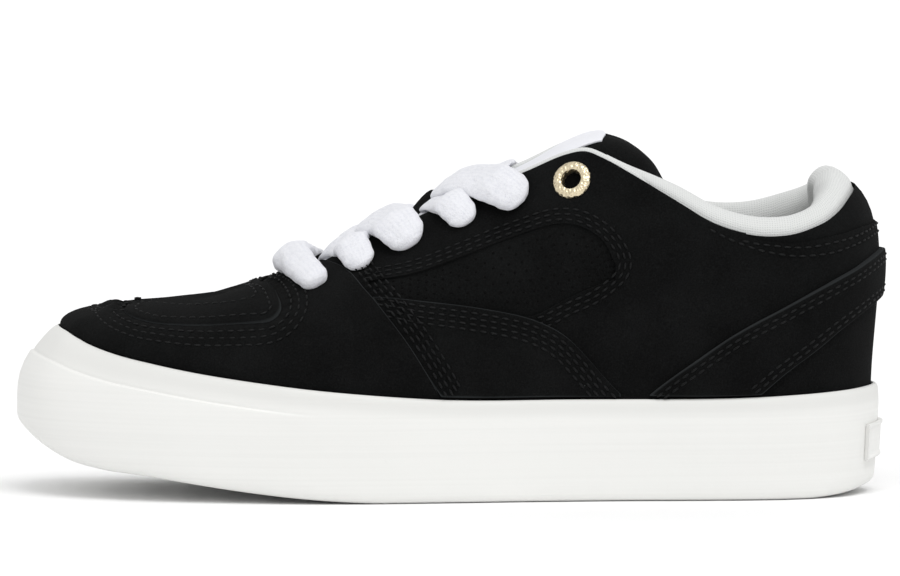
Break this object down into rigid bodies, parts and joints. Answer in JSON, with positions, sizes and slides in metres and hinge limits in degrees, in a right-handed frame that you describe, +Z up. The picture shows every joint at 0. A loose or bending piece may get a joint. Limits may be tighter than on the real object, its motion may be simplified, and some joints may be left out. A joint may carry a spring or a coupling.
{
  "type": "skateboarding shoe",
  "caption": "Low-cut left skateboarding shoe with a thick cup sole, padded collar and tongue, overlay panels and fat flat laces.",
  "frame": {"origin": "on the ground under the middle of the heel, on the flat of the outsole", "axes": "-X towards the toe, +X towards the heel, -Y outer side of the foot, +Y inner side, +Z up"},
  "size_m": [0.3005, 0.1042, 0.125],
  "materials": {
    "suede": "black napped suede",
    "tongue_cloth": "black padded mesh",
    "sole_rubber": "matt white",
    "lining": "white padded mesh",
    "insole_foam": "white cloth on foam",
    "cotton": "woven, slightly fuzzy",
    "eyelet_metal": "pale gold"
  },
  "bodies": {
    "root": {"sole": "sole_rubber", "upper": "suede", "toe_apron": "suede", "side_panel_outer": "suede", "side_panel_inner": "suede", "heel_strap": "suede", "insole": "insole_foam", "collar_pad": "lining", "tongue": "tongue_cloth", "tongue_label": "cotton", "heel_label": "sole_rubber", "eyelet_outer": "eyelet_metal", "eyelet_inner": "eyelet_metal", "laces": "cotton"}
  },
  "joints": []
}
